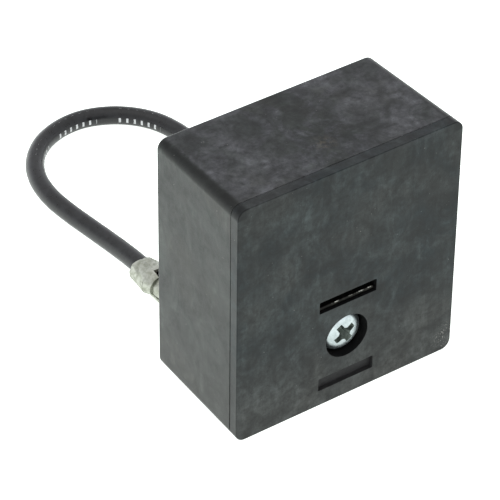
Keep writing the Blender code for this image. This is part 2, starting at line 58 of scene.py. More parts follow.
# ---- sizes read from the frame, mm ------------------------------------------------------
COVER_LOW, COVER_HIGH = corners("front_cover")
HOUSING_LOW, HOUSING_HIGH = corners("housing")
SCREW_LOW, SCREW_HIGH = corners("terminal_screw")
PLATE_LOW, PLATE_HIGH = corners("terminal_plate")
GROMMET_LOW, GROMMET_HIGH = corners("lead_grommet")
TERMINAL_LOW, TERMINAL_HIGH = corners("ring_terminal")
SPRING_LOW, SPRING_HIGH = corners("spring_washer")
FLAT_LOW, FLAT_HIGH = corners("flat_washer")

BOX_WIDTH = COVER_HIGH.x - COVER_LOW.x
BOX_HEIGHT = COVER_HIGH.z - COVER_LOW.z
FRONT, REAR = COVER_LOW.y, HOUSING_HIGH.y
BOX_DEPTH = REAR - FRONT
SEAM = (FRONT + 2.3 + HOUSING_LOW.y) / 2
SCREW_Z = (SCREW_LOW.z + SCREW_HIGH.z) / 2
HEAD_DIAMETER = SCREW_HIGH.x - SCREW_LOW.x

# ---- sizes that the frame does not give, mm ---------------------------------------------
SIDE_DRAFT = 0.72
TOP_DRAFT = 0.87
CORNER_RADIUS = 2.2
FRONT_EDGE_RADIUS = 0.2
REAR_EDGE_RADIUS = 0.6
WALL = 2.0
GAP = 0.3                       # between pieces that touch
COVER_BACK = SEAM - 0.03
BODY_FRONT = SEAM + 0.03
INNER_REAR = REAR - WALL - 0.2
COUNTERBORE = 10.2
SLOT_OFFSET = 10.0              # slot centres above and below the screw
SLOT_SIZE = (13.9, 2.9)
BLIND_SLOT_SIZE = (13.5, 3.1)
BLIND_SLOT_DEPTH = 1.0
EJECTOR_MARKS = ((-20.0, 8.0), (-20.0, 50.0), (20.0, 50.0), (0.0, 29.0))    # x and z
NUT_THICKNESS = 4.5
NUT_POST, NUT_POCKET = 6.5, 5.8    # half widths
LEAD_HOLE = 8.2
FLANGE_RECESS = (11.6, 0.4)     # diameter and depth of the seat in the rear face
HEAD_HEIGHT = 3.7
RECESS_ANGLE = 32.0             # degrees, of the cross recess at rest
PLATE_THICKNESS = 0.8
PLATE_HOLE = 5.6
WIRE_DIAMETER = 4.2
RING_HOLE = 5.3
RING_TO_BARREL = 7.2            # ring centre to the conductor barrel
INSULATION_BARREL = 5.4         # length
BARREL_SHOULDER = 1.5           # between the two barrels

# ---- looks ------------------------------------------------------------------------------
HORIZON = ((0.24, 1.6), (0.36, 0.42), (0.30, 1.0))    # (sine of elevation, grey)
SKY_TINT = (0.98, 1.0, 1.04)
FLOOR_TINT = (0.955, 1.0, 0.965)
WORN_CORNER = (BOX_WIDTH / 2 - 1.2, FRONT, 3.4)
STAIN = (0.0, -5.1, 57.6)
MARK_SIDE = 4.75                # radians round the jacket from straight up
MARKED_STRETCH = (36.0, 93.0)   # of the lead, mm from the bushing

# The free lead's centre line, as in the CAD model.
LEAD_ROUTE = [
    (17.0, 28.8, 9.0), (17.2, 34.0, 8.7), (17.6, 40.0, 7.2), (18.2, 46.0, 4.9),
    (18.9, 52.0, 3.0), (19.6, 58.0, 2.25), (20.2, 64.5, 2.15), (20.5, 71.0, 2.15),
    (20.0, 77.0, 2.15), (18.2, 82.6, 2.15), (14.9, 87.2, 2.15), (10.2, 90.7, 2.15),
    (4.3, 92.6, 2.15), (-1.9, 92.1, 2.15), (-7.8, 89.4, 2.15), (-12.5, 84.5, 2.15),
    (-15.2, 78.4, 2.15), (-16.1, 71.7, 2.15), (-15.7, 65.0, 2.15), (-14.9, 58.4, 2.25),
    (-14.2, 51.8, 2.5), (-13.8, 45.2, 3.0), (-13.7, 39.4, 3.4), (-13.7, 34.0, 3.4),
]


# ---- camera, floor and light ------------------------------------------------------------
def make_camera():
    """Long lens, looking down on the box's front left corner."""
    azimuth, elevation, roll = radians(-35.15), radians(38.49), radians(0.666)
    distance, aside, above = 0.6348, -0.01122, -0.00098
    centre = Vector((0, 0, BOX_HEIGHT / 2 * MM))
    back = Vector((sin(azimuth) * cos(elevation), -cos(azimuth) * cos(elevation),
                   sin(elevation)))
    right = Vector((0, 0, 1)).cross(back).normalized()
    up = back.cross(right)
    turned_right = right * cos(roll) + up * sin(roll)
    turned_up = up * cos(roll) - right * sin(roll)
    place = centre + back * distance + turned_right * aside + turned_up * above
    rotation = Matrix((turned_right, turned_up, back)).transposed().to_4x4()
    camera = bpy.data.objects.new("camera", bpy.data.cameras.new("camera"))
    camera.data.lens = 228.4
    camera.data.sensor_width = 36.0
    camera.data.clip_start = 0.01
    camera.matrix_world = Matrix.Translation(place) @ rotation
    bpy.context.scene.collection.objects.link(camera)
    bpy.context.scene.camera = camera


def make_softbox():
    """Square soft light above and behind the box, aimed at its middle."""
    light = bpy.data.lights.new("top_softbox", "AREA")
    light.shape = "SQUARE"
    light.size = 1.2
    light.energy = 2.0
    obj = bpy.data.objects.new("top_softbox", light)
    obj.location = (-0.25, 0.2, 1.3)
    aim = Vector((0, 0, 0.03)) - obj.location
    obj.rotation_euler = aim.to_track_quat("-Z", "Y").to_euler()
    bpy.context.scene.collection.objects.link(obj)


def make_stage():
    """Dim even sky with a bright low horizon, a soft light and a pale glowing floor; the floor's
    glow is painted light, stronger towards the back left.
    """
    bpy.context.scene.view_settings.view_transform = "Standard"
    world = bpy.data.worlds.new("world")
    bpy.context.scene.world = world
    world.use_nodes = True
    nodes, links = world.node_tree.nodes, world.node_tree.links
    split = nodes.new("ShaderNodeSeparateXYZ")
    links.new(nodes.new("ShaderNodeTexCoord").outputs["Generated"], split.inputs["Vector"])
    ramp = nodes.new("ShaderNodeValToRGB")
    links.new(split.outputs["Z"], ramp.inputs["Fac"])
    stops = [*ramp.color_ramp.elements, ramp.color_ramp.elements.new(0.5)]
    for element, (height, grey) in zip(stops, HORIZON):
        element.position = height
        element.color = (*(grey * tint for tint in SKY_TINT), 1)
    links.new(ramp.outputs["Color"], nodes["Background"].inputs["Color"])
    nodes["Background"].inputs["Strength"].default_value = 1.0
    make_softbox()
    bm = bmesh.new()
    bmesh.ops.create_grid(bm, x_segments=1, y_segments=1, size=1.6)
    floor = mesh_object("floor", bm, None, recalculate=False, scale=1.0)
    shade = Shader("floor_paper")
    shade.principled(base=(*(0.92 * tint for tint in FLOOR_TINT), 1), roughness=0.7)
    shade.principled_node.inputs["Emission Color"].default_value = (*FLOOR_TINT, 1)
    place = shade.node("SeparateXYZ", None, Vector=shade.node("TexCoord").outputs["Object"])
    # painted light: the floor's glow rises from the front right to the back left, a pool of light
    # on that side
    across = shade.math("SUBTRACT", place.outputs["Y"], place.outputs["X"])
    painted_floor_light = shade.between(across, -0.09, 0.11, 0.70, 1.12)
    shade.put(shade.principled_node.inputs["Emission Strength"], painted_floor_light)
    floor.data.materials.append(shade.material)


# ---- material helpers -------------------------------------------------------------------
class Shader:
    """A node material that is written top to bottom."""

    def __init__(self, name):
        self.material = bpy.data.materials.new(name)
        self.material.use_nodes = True
        self.nodes = self.material.node_tree.nodes
        self.links = self.material.node_tree.links
        self.principled_node = self.nodes["Principled BSDF"]
        self.place = None

    def put(self, socket, value):
        if isinstance(value, bpy.types.NodeSocket):
            self.links.new(value, socket)
        else:
            socket.default_value = value

    def node(self, kind, settings=None, **inputs):
        made = self.nodes.new("ShaderNode" + kind)
        for key, value in (settings or {}).items():
            setattr(made, key, value)
        for key, value in inputs.items():
            self.put(made.inputs[key], value)
        return made

    def coordinates(self, scale=(1, 1, 1)):
        """Object coordinates in millimetres, stretched."""
        if self.place is None:
            self.place = self.node("TexCoord").outputs["Object"]
        factor = tuple(1000.0 * s for s in scale)
        return self.node("Mapping", None, Vector=self.place, Scale=factor).outputs["Vector"]

    def noise(self, scale, detail=3.0, roughness=0.5, stretch=(1, 1, 1), distortion=0.0):
        """Noise with about scale cycles in each millimetre."""
        return self.node("TexNoise", None, Vector=self.coordinates(stretch), Scale=scale,
                         Detail=detail,
                         Roughness=roughness, Distortion=distortion).outputs["Fac"]

    def ramp(self, value, *stops):
        """Grey ramp through (position, grey) stops."""
        made = self.node("ValToRGB", None, Fac=value)
        elements = made.color_ramp.elements
        while len(elements) < len(stops):
            elements.new(0.5)
        for element, (position, grey) in zip(elements, stops):
            element.position = position
            element.color = (grey, grey, grey, 1)
        return made.outputs["Color"]

    def mix(self, factor, a, b, mode="MIX"):
        made = self.node("Mix", {"data_type": "RGBA", "blend_type": mode})
        self.put(made.inputs[0], factor)
        for socket, value in ((made.inputs[6], a), (made.inputs[7], b)):
            if hasattr(value, "__len__") and not isinstance(value, bpy.types.NodeSocket):
                value = (*value[:3], 1)
            self.put(socket, value)
        return made.outputs[2]

    def math(self, operation, a, b=0.0):
        made = self.node("Math", {"operation": operation})
        for socket, value in zip(made.inputs, (a, b)):
            self.put(socket, value)
        return made.outputs[0]

    def between(self, value, low, high, to_low=0.0, to_high=1.0):
        """Smooth step from to_low at low to to_high at high."""
        made = self.node("MapRange", {"clamp": True, "interpolation_type": "SMOOTHSTEP"})
        for socket, number in zip(made.inputs, (value, low, high, to_low, to_high)):
            self.put(socket, number)
        return made.outputs[0]

    def bump(self, height, strength, distance, normal=None):
        made = self.node("Bump", None, Height=height, Strength=strength,
                         Distance=distance * MM)
        if normal is not None:
            self.put(made.inputs["Normal"], normal)
        return made.outputs["Normal"]

    def principled(self, base, roughness, metallic=0.0, normal=None, specular=0.5):
        node = self.principled_node
        self.put(node.inputs["Base Color"], base)
        self.put(node.inputs["Roughness"], roughness)
        node.inputs["Metallic"].default_value = metallic
        node.inputs["Specular IOR Level"].default_value = specular
        if normal is not None:
            self.put(node.inputs["Normal"], normal)
        return self.material


def moulded_plastic(name, dark, light, streaks, top_dust_and_sheen_amount, gloss):
    """Matte moulded plastic: cloudy bloom, handling marks, flow streaks, specks and grain."""
    s = Shader(name)
    place = s.node("SeparateXYZ", None, Vector=s.coordinates())
    height = place.outputs["Z"]
    aside = s.math("ABSOLUTE", place.outputs["X"])
    bloom = s.noise(0.075, 6.0, 0.62, distortion=0.8)
    base = s.mix(s.between(bloom, 0.40, 0.60), dark, light)
    tint = s.noise(0.05, 3.0, 0.5, distortion=0.9)
    base = s.mix(s.between(tint, 0.46, 0.62, 0.0, 0.6), base,
                 (1.12 * light[0], 0.95 * light[1], 0.88 * light[2]))
    flat = s.between(aside, BOX_WIDTH / 2 - 1.6, BOX_WIDTH / 2 - 2.8)
    # dust on the top face, partly painted light from the sky
    base = top_dust_and_sheen(s, base, height, aside, flat, top_dust_and_sheen_amount)
    base = s.mix(s.math("MULTIPLY", near(s, STAIN, 3.4, 0.6),
                        s.between(s.noise(0.9, 4.0, 0.6), 0.42, 0.62, 0.0, 0.75)),
                 base, (0.062, 0.054, 0.038))
    wipe = s.noise(0.22, 7.0, 0.70, stretch=(1.0, 1.0, 0.55), distortion=1.0)
    base = s.mix(s.between(wipe, 0.48, 0.68, 0.0, 0.45), base,
                 tuple(2.0 * c for c in light))
    # painted shade: the rounded upper edges of the sides are darkened, away from the flat top
    rounding_shade = s.math("MULTIPLY", s.between(height, BOX_HEIGHT - 2.6, BOX_HEIGHT - 1.9),
                      s.math("SUBTRACT", 1.0, flat))
    base = s.mix(s.math("MULTIPLY", rounding_shade, 0.8), base, tuple(0.3 * c for c in dark))
    # painted light: paler towards the base, where light from the floor falls on it
    base = s.mix(s.between(height, 24.0, 1.0, 0.0, 0.50), base, (0.040, 0.040, 0.037))
    flow = s.noise(0.8, 4.0, 0.65, stretch=(1.0, 1.0, 0.14))
    mottle = s.noise(0.55, 6.0, 0.72)
    patch = s.noise(0.19, 4.0, 0.6, distortion=0.6)
    for share, ramp in ((streaks, s.ramp(flow, (0.30, 0.20), (0.50, 0.5), (0.72, 0.84))),
                        (0.9, s.ramp(mottle, (0.32, 0.15), (0.5, 0.5), (0.68, 0.86))),
                        (0.8, s.ramp(patch, (0.34, 0.22), (0.5, 0.5), (0.66, 0.80)))):
        base = s.mix(share, base, ramp, mode="OVERLAY")
    speck = s.noise(1.7, 2.0, 0.5)
    base = s.mix(s.between(speck, 0.76, 0.79, 0.0, 0.40), base, (0.26, 0.26, 0.24))
    worn = s.math("MULTIPLY", near(s, WORN_CORNER, 4.8, 1.0),
                  s.between(s.noise(2.4, 3.0, 0.6), 0.57, 0.67, 0.0, 0.7))
    base = s.mix(worn, base, (0.34, 0.34, 0.31))
    normal = s.bump(s.noise(0.16, 2.0, 0.4), 0.35, 0.20)
    normal = s.bump(mottle, 0.30, 0.06, normal)
    normal = s.bump(s.noise(5.5, 3.0, 0.6), 0.30, 0.030, normal)
    s.principled(base, s.between(mottle, 0.3, 0.7, 0.32, 0.48), 0.0, normal, gloss)
    return s.material


def top_dust_and_sheen(s, base, height, aside, flat, amount):
    """Smeared dust on the top face, thicker towards both ends, with thin wiped ridges; the paler,
    bluish cast it gives the whole top is also painted light from the sky.
    """
    top = s.between(height, BOX_HEIGHT - 1.3, BOX_HEIGHT - 0.9, 0.0, amount)
    top = s.math("MULTIPLY", top, flat)
    smear = s.noise(0.085, 7.0, 0.62, distortion=1.6)
    dust = s.math("MULTIPLY", s.between(smear, 0.42, 0.66), top)
    base = s.mix(dust, base, (0.034, 0.035, 0.040))
    thick = s.math("MULTIPLY", s.between(aside, 4.0, 15.0),
                   s.between(smear, 0.34, 0.60, 0.25, 0.85))
    base = s.mix(s.math("MULTIPLY", thick, top), base, (0.047, 0.048, 0.052))
    thin = s.noise(0.14, 3.0, 0.5, distortion=3.2)
    ridge = s.between(s.math("ABSOLUTE", s.math("SUBTRACT", thin, 0.5)), 0.022, 0.0, 0.0, 0.40)
    ridge = s.math("MULTIPLY", ridge, s.between(smear, 0.46, 0.60))
    return s.mix(s.math("MULTIPLY", ridge, top), base, (0.075, 0.077, 0.084))


def near(s, point, outer, inner):
    """Mask that grows from 0 at the outer to 1 at the inner distance from a point, in mm."""
    offset = s.node("VectorMath", {"operation": "DISTANCE"})
    s.put(offset.inputs[0], s.coordinates())
    offset.inputs[1].default_value = point
    return s.between(offset.outputs["Value"], outer, inner)


def dark_recess(name, base, specular):
    """Plain unpolished plastic for the walls inside the holes; with the near-black base given for
    the counterbore and through slot it is painted shade, where little light comes in.
    """
    s = Shader(name)
    cloud = s.noise(0.8, 5.0, 0.6)
    colour = s.mix(s.between(cloud, 0.35, 0.66), base, tuple(1.6 * c for c in base))
    normal = s.bump(s.noise(4.0, 3.0, 0.6), 0.3, 0.04)
    s.principled(colour, s.between(cloud, 0.3, 0.7, 0.60, 0.75), 0.0, normal, specular)
    return s.material


def tongue_shade_and_glints():
    """Contact metal with painted shade making the tongue's front near black, broken painted glints
    along its upper front arris, and its own tin colour deeper in.
    """
    s = Shader("tongue_shade_and_glints")
    split = s.node("SeparateXYZ", None, Vector=s.coordinates())
    cloud = s.noise(0.9, 5.0, 0.6)
    # painted shade: near-black metal at the front of the tongue
    base = s.mix(s.between(cloud, 0.35, 0.68), (0.012, 0.012, 0.011), (0.030, 0.029, 0.026))
    # painted highlight: broken bright glints along the upper front arris
    broken = s.between(s.noise(0.55, 3.0, 0.6, stretch=(1.0, 0.2, 0.2)), 0.47, 0.56)
    arris = s.between(split.outputs["Z"], PLATE_HIGH.z - 0.17, PLATE_HIGH.z - 0.11)
    foremost = s.between(split.outputs["Y"], PLATE_LOW.y + 0.24, PLATE_LOW.y + 0.12)
    glint = s.math("MULTIPLY", s.math("MULTIPLY", arris, foremost), broken)
    base = s.mix(glint, base, (0.40, 0.40, 0.36))
    # deeper in, the plate's own tin colour
    deep = s.between(split.outputs["Y"], PLATE_LOW.y + 1.2, PLATE_LOW.y + 2.2)
    base = s.mix(deep, base, (0.60, 0.59, 0.55))
    normal = s.bump(cloud, 0.3, 0.05)
    s.principled(base, s.between(cloud, 0.3, 0.7, 0.38, 0.52), 1.0, normal, 0.5)
    return s.material


def plated_metal(name, base_colour, shadow, roughness, grain_scale=2.2, spots=0.25):
    """Plated metal with uneven brightness, fine scratches and dull spots."""
    s = Shader(name)
    cloud = s.noise(0.7, 5.0, 0.6, distortion=0.4)
    base = s.mix(s.between(cloud, 0.35, 0.68), shadow, base_colour)
    dull = s.noise(grain_scale, 6.0, 0.7)
    base = s.mix(s.between(dull, 0.56, 0.70, 0.0, spots), base,
                 tuple(0.45 * c for c in shadow))
    rough = s.between(dull, 0.3, 0.75, roughness - 0.07, roughness + 0.16)
    scratch = s.noise(3.0, 2.0, 0.5, stretch=(1.0, 0.12, 1.0))
    normal = s.bump(cloud, 0.25, 0.06)
    normal = s.bump(scratch, 0.12, 0.010, normal)
    s.principled(base, rough, 1.0, normal, 0.5)
    return s.material


def wire_insulation():
    """Glossy black PVC with a light haze and a row of plain white marks along one side."""
    s = Shader("wire_insulation")
    along = s.node("Attribute", {"attribute_name": "along_mm"}).outputs["Fac"]
    around = s.node("Attribute", {"attribute_name": "around"}).outputs["Fac"]
    haze = s.noise(0.5, 5.0, 0.65, distortion=0.5)
    base = s.mix(s.between(haze, 0.38, 0.68), (0.005, 0.005, 0.0055), (0.013, 0.0135, 0.015))
    dust = s.noise(2.6, 5.0, 0.7)
    base = s.mix(s.between(dust, 0.63, 0.72, 0.0, 0.30), base, (0.12, 0.12, 0.12))
    base = s.mix(print_marks(s, along, around), base, (0.62, 0.63, 0.64))
    normal = s.bump(haze, 0.25, 0.10)
    rough = s.between(haze, 0.3, 0.7, 0.26, 0.40)
    s.principled(base, rough, 0.0, normal, 0.41)
    return s.material


def print_marks(s, along, around):
    """Mask of short bars in groups, in a narrow band round the jacket; no lettering."""
    period = s.math("PINGPONG", along, 0.95)
    bars = s.between(period, 0.62, 0.72)
    group = s.math("FRACT", s.math("DIVIDE", along, 17.0))
    grouped = s.math("MULTIPLY", s.between(group, 0.08, 0.10), s.between(group, 0.80, 0.78))
    offset = s.math("ABSOLUTE", s.math("SUBTRACT", around, MARK_SIDE))
    band = s.between(offset, 0.30, 0.26)
    start, end = MARKED_STRETCH
    inside = s.math("MULTIPLY", s.between(along, start, start + 1.0),
                    s.between(along, end, end - 1.0))
    worn = s.between(s.noise(1.6, 4.0, 0.7), 0.30, 0.46)
    mask = bars
    for factor in (grouped, band, inside, worn, 0.85):
        mask = s.math("MULTIPLY", mask, factor)
    return mask


def simple_finish(name, base, other, roughness, metallic=0.0, scale=0.6, grain=3.0,
                  depth=0.03):
    """Two-tone finish with uneven roughness and a fine grain, for the pieces inside."""
    s = Shader(name)
    cloud = s.noise(scale, 5.0, 0.6, distortion=0.4)
    colour = s.mix(s.between(cloud, 0.35, 0.66), base, other)
    fine = s.noise(grain, 4.0, 0.6)
    normal = s.bump(fine, 0.3, depth)
    rough = s.between(fine, 0.3, 0.7, roughness - 0.08, roughness + 0.1)
    s.principled(colour, rough, metallic, normal, 0.5)
    return s.material


# ---- mesh helpers -----------------------------------------------------------------------
def mesh_object(name, bm, finish, recalculate=True, scale=MM, smooth=35.0):
    """Turn a bmesh in millimetres into an object in metres."""
    if recalculate:
        bmesh.ops.recalc_face_normals(bm, faces=bm.faces)
    bmesh.ops.scale(bm, vec=(scale, scale, scale), verts=bm.verts)
    mesh = bpy.data.meshes.new(name)
    bm.to_mesh(mesh)
    bm.free()
    mesh.shade_smooth()
    mesh.set_sharp_from_angle(angle=radians(smooth))
    obj = bpy.data.objects.new(name, mesh)
    bpy.context.scene.collection.objects.link(obj)
    if finish:
        mesh.materials.append(finish)
    return obj


def loft(rings, closed=False, bm=None):
    """Skin through rings of equally many points, capped at the ends unless it is closed."""
    bm = bm or bmesh.new()
    rows = [[bm.verts.new(point) for point in ring] for ring in rings]
    count = len(rings[0])
    pairs = list(zip(rows, rows[1:]))
    if closed:
        pairs.append((rows[-1], rows[0]))
    for row, following in pairs:
        for i in range(count):
            j = (i + 1) % count
            bm.faces.new((row[i], row[j], following[j], following[i]))
    if not closed:
        bm.faces.new(rows[0])
        bm.faces.new(rows[-1])
    return bm


def lathe(profile, segments, x=0.0, z=0.0):
    """Closed body turned about a line along Y, from (radius, y) points."""
    turn = [tau * i / segments for i in range(segments)]
    return loft([[(x + r * cos(a), y, z + r * sin(a)) for a in turn] for r, y in profile])


def ring_lathe(profile, segments, x=0.0, z=0.0):
    """Closed ring turned about a line along Y, from a closed (radius, y) section."""
    rings = []
    for i in range(segments):
        a = tau * i / segments
        rings.append([(x + r * cos(a), y, z + r * sin(a)) for r, y in profile])
    return loft(rings, closed=True)


def rounded_outline(width, height, radius, steps):
    """Rounded rectangle about the origin as (a, b) points, anticlockwise."""
    points = []
    for quarter, (sa, sb) in enumerate([(1, 1), (-1, 1), (-1, -1), (1, -1)]):
        ca, cb = sa * (width / 2 - radius), sb * (height / 2 - radius)
        for k in range(steps + 1):
            a = pi / 2 * (quarter + k / steps)
            points.append((ca + radius * cos(a), cb + radius * sin(a)))
    return points


def box_ring(inset, y):
    """The drafted box's outline, moved in by inset, at depth y."""
    part = (y - FRONT) / BOX_DEPTH
    width = BOX_WIDTH - 2 * SIDE_DRAFT * part
    height = BOX_HEIGHT - TOP_DRAFT * part
    outline = rounded_outline(width - 2 * inset, height - 2 * inset,
                              max(CORNER_RADIUS - inset, 0.3), 12)
    return [(x, y, z + height / 2) for x, z in outline]


def rounded_edge(face_y, direction, radius, steps=8):
    """Rings that round the box's edge between an end face and the sides."""
    rings = []
    for k in range(steps + 1):
        a = pi / 2 * k / steps
        rings.append(box_ring(radius * (1 - sin(a)),
                              face_y + direction * radius * (1 - cos(a))))
    return rings


def block(low, high):
    """Box between two opposite corners."""
    (x0, y0, z0), (x1, y1, z1) = low, high
    square = [(x0, z0), (x1, z0), (x1, z1), (x0, z1)]
    return loft([[(x, y, z) for x, z in square] for y in (y0, y1)])


def slot_cutter(size, y0, y1, z):
    """Flat bar with lightly rounded corners, from y0 to y1."""
    outline = rounded_outline(size[0], size[1], 0.25, 5)
    return loft([[(a, y, b + z) for a, b in outline] for y in (y0, y1)])


def combine(obj, bm, operation):
    """Cut a body out of an object, or join it on, and keep the result."""
    other = mesh_object(obj.name + "_tool", bm, None)
    modifier = obj.modifiers.new(operation.lower(), "BOOLEAN")
    modifier.operation = operation
    modifier.object = other
    modifier.solver = "EXACT"
    apply_modifiers(obj)
    bpy.data.objects.remove(other, do_unlink=True)


def apply_modifiers(obj):
    """Replace an object's mesh by what its modifiers make of it."""
    graph = bpy.context.evaluated_depsgraph_get()
    graph.update()
    made = bpy.data.meshes.new_from_object(obj.evaluated_get(graph))
    obj.modifiers.clear()
    obj.data = made


def soften(obj, width, segments=2, angle=40.0):
    """Round the sharp edges by a bevel."""
    modifier = obj.modifiers.new("soften", "BEVEL")
    modifier.width = width * MM
    modifier.segments = segments
    modifier.limit_method = "ANGLE"
    modifier.angle_limit = radians(angle)
    modifier.use_clamp_overlap = True
    apply_modifiers(obj)
    obj.data.shade_smooth()
    obj.data.set_sharp_from_angle(angle=radians(35))
    modifier = obj.modifiers.new("weighted", "WEIGHTED_NORMAL")
    modifier.keep_sharp = True
    apply_modifiers(obj)


def paint(obj, finish, chosen):
    """Give another finish to the faces whose centre, in mm, and normal are chosen."""
    obj.data.materials.append(finish)
    index = len(obj.data.materials) - 1
    for face in obj.data.polygons:
        if chosen(face.center / MM, face.normal):
            face.material_index = index


def in_slot(at, size, z):
    """Whether a point lies within a slot's outline or on its wall."""
    return abs(at.x) < size[0] / 2 + 0.02 and abs(at.z - z) < size[1] / 2 + 0.02


# ---- moulded case -----------------------------------------------------------------------
def make_cover(finish, black, dim):
    """Face plate with counterbore, through slot, blind slot, locating rim and shroud."""
    rings = rounded_edge(FRONT, 1, FRONT_EDGE_RADIUS)
    rings += [box_ring(0, COVER_BACK - 0.06), box_ring(0.06, COVER_BACK)]
    # the seam's gap widens slightly from the top towards the base
    for ring in rings[-2:]:
        ring[:] = [(x, y - 0.17 * (1 - z / BOX_HEIGHT), z) for x, y, z in ring]
    cover = mesh_object("cover_moulding", loft(rings), finish)
    rim_out, rim_in = WALL + GAP, WALL + 1.6
    combine(cover, loft([box_ring(rim_out, COVER_BACK - 0.5), box_ring(rim_out, COVER_HIGH.y - 1.2),
                         box_ring(rim_in, COVER_HIGH.y - 1.2), box_ring(rim_in, COVER_BACK - 0.5)]),
            "UNION")
    shroud_end = COVER_HIGH.y
    combine(cover, lathe([(6.5, COVER_BACK - 0.5), (6.5, shroud_end)], 64, z=SCREW_Z), "UNION")
    combine(cover, lathe([(COUNTERBORE / 2, FRONT - 1), (COUNTERBORE / 2, shroud_end + 1)], 96,
                         z=SCREW_Z), "DIFFERENCE")
    combine(cover, slot_cutter(SLOT_SIZE, FRONT - 1, COVER_BACK + 3, SCREW_Z + SLOT_OFFSET),
            "DIFFERENCE")
    combine(cover, slot_cutter(BLIND_SLOT_SIZE, FRONT - 1, FRONT + BLIND_SLOT_DEPTH,
                               SCREW_Z - SLOT_OFFSET), "DIFFERENCE")
    soften(cover, 0.10)
    behind = FRONT + 0.12
    high, low = SCREW_Z + SLOT_OFFSET, SCREW_Z - SLOT_OFFSET
    # painted shade: the counterbore's and through slot's walls take the near-black finish
    paint(cover, black, lambda at, normal: at.y > behind and (
        Vector((at.x, at.z - SCREW_Z)).length < COUNTERBORE / 2 + 0.02
        or in_slot(at, SLOT_SIZE, high)))
    paint(cover, dim, lambda at, normal: at.y > behind and in_slot(at, BLIND_SLOT_SIZE, low))
    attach(cover, BODY_CASE)
    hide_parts("front_cover")


def make_case(finish):
    """Cup round the electronics, with the nut's post and pocket and the lead hole."""
    rings = rounded_edge(REAR, -1, REAR_EDGE_RADIUS)
    rings += [box_ring(0, BODY_FRONT + 0.06), box_ring(0.06, BODY_FRONT)]
    rings += [box_ring(WALL, BODY_FRONT), box_ring(WALL, INNER_REAR)]
    case = mesh_object("case_moulding", loft(rings), finish)
    nut_back = PLATE_HIGH.y + GAP + NUT_THICKNESS
    combine(case, block((-NUT_POST, nut_back - 2.0, SCREW_Z - NUT_POST),
                        (NUT_POST, INNER_REAR + 0.5, SCREW_Z + NUT_POST)), "UNION")
    combine(case, block((-NUT_POCKET, nut_back - 3.0, SCREW_Z - NUT_POCKET),
                        (NUT_POCKET, nut_back + GAP, SCREW_Z + NUT_POCKET)), "DIFFERENCE")
    lead_x = (GROMMET_LOW.x + GROMMET_HIGH.x) / 2
    lead_z = (GROMMET_LOW.z + GROMMET_HIGH.z) / 2
    seat_diameter, seat_depth = FLANGE_RECESS
    for radius, start in ((LEAD_HOLE / 2, INNER_REAR - 1), (seat_diameter / 2, REAR - seat_depth)):
        combine(case, lathe([(radius, start), (radius, REAR + 1)], 48, x=lead_x, z=lead_z),
                "DIFFERENCE")
    for x, z in EJECTOR_MARKS:
        combine(case, lathe([(2.0, REAR - 0.12), (2.0, REAR + 1)], 40, x=x, z=z), "DIFFERENCE")
    soften(case, 0.10)
    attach(case, BODY_CASE)
    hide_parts("housing")


# ---- screw terminal ---------------------------------------------------------------------
def make_screw(finish, grime_and_shade):
    """Pan head with a cross recess, and a rolled thread on the shank."""
    crown = SCREW_LOW.y
    radius = HEAD_DIAMETER / 2
    seat = crown + HEAD_HEIGHT
    profile = [(0.5, crown)]
    for k in range(1, 13):
        a = pi / 2 * k / 12
        profile.append((0.5 + (radius - 0.5) * sin(a) ** 0.8, crown + 2.1 * (1 - cos(a))))
    profile += [(radius, seat - 0.4), (radius - 0.12, seat - 0.12), (radius - 0.4, seat),
                (2.5, seat), (2.5, seat + 0.8), (2.05, seat + 1.2), (2.05, SCREW_HIGH.y - 0.5),
                (1.7, SCREW_HIGH.y)]
    screw = mesh_object("screw_body", lathe(profile, 96, z=SCREW_Z), finish)
    for turn in (0, 90):
        combine(screw, recess_wing(crown, turn), "DIFFERENCE")
    combine(screw, recess_core(crown), "DIFFERENCE")
    soften(screw, 0.05, 2, 50.0)
    # grime and painted shade: darker, duller metal on the faces inside the cross recess
    paint(screw, grime_and_shade, lambda at, normal: (normal.y > -0.6 or at.y > crown + 1.2)
          and at.y < crown + 3.0 and Vector((at.x, at.z - SCREW_Z)).length < 3.1)
    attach(screw, BODY_SCREW)
    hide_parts("terminal_screw")
    thread = mesh_object("screw_thread", thread_helix(seat + 1.2, SCREW_HIGH.y - 0.7), finish)
    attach(thread, BODY_SCREW)


def turned(points, degrees):
    """Points turned about the screw's axis, anticlockwise as seen from the front."""
    a = radians(degrees)
    return [(x * cos(a) - z * sin(a), y, SCREW_Z + x * sin(a) + z * cos(a))
            for x, y, z in points]


def recess_wing(crown, turn):
    """Tapered bar of the cross recess."""
    rings = []
    for y, length, width in ((crown - 0.5, 2.95, 0.80), (crown + 2.5, 1.1, 0.45)):
        outline = rounded_outline(2 * length, 2 * width, 0.16, 4)
        rings.append(turned([(a, y, b) for a, b in outline], RECESS_ANGLE + turn))
    return loft(rings)


def recess_core(crown):
    """Square, tapered middle of the recess, turned by an eighth between the wings."""
    rings = []
    for y, half in ((crown - 0.5, 1.55), (crown + 2.9, 0.45)):
        outline = rounded_outline(2 * half, 2 * half, 0.15, 3)
        rings.append(turned([(a, y, b) for a, b in outline], RECESS_ANGLE + 45))
    return loft(rings)


def thread_helix(start, end, pitch=0.8, root=2.0, tip=2.45):
    """Triangular ridge wound round the shank, right-handed, tapering out at both ends."""
    turns = (end - start) / pitch
    steps = int(turns * 40)
    rings = []
    for k in range(steps + 1):
        t = k / steps
        a = -tau * turns * t
        y = start + (end - start) * t
        height = root + (tip - root) * min(1.0, 12 * t, 12 * (1 - t)) + 0.02
        ring = []
        for r, dy in ((root - 0.1, -0.36), (height, -0.05), (height, 0.05), (root - 0.1, 0.36)):
            ring.append((r * cos(a), y + dy, SCREW_Z + r * sin(a)))
        rings.append(ring)
    return loft(rings)


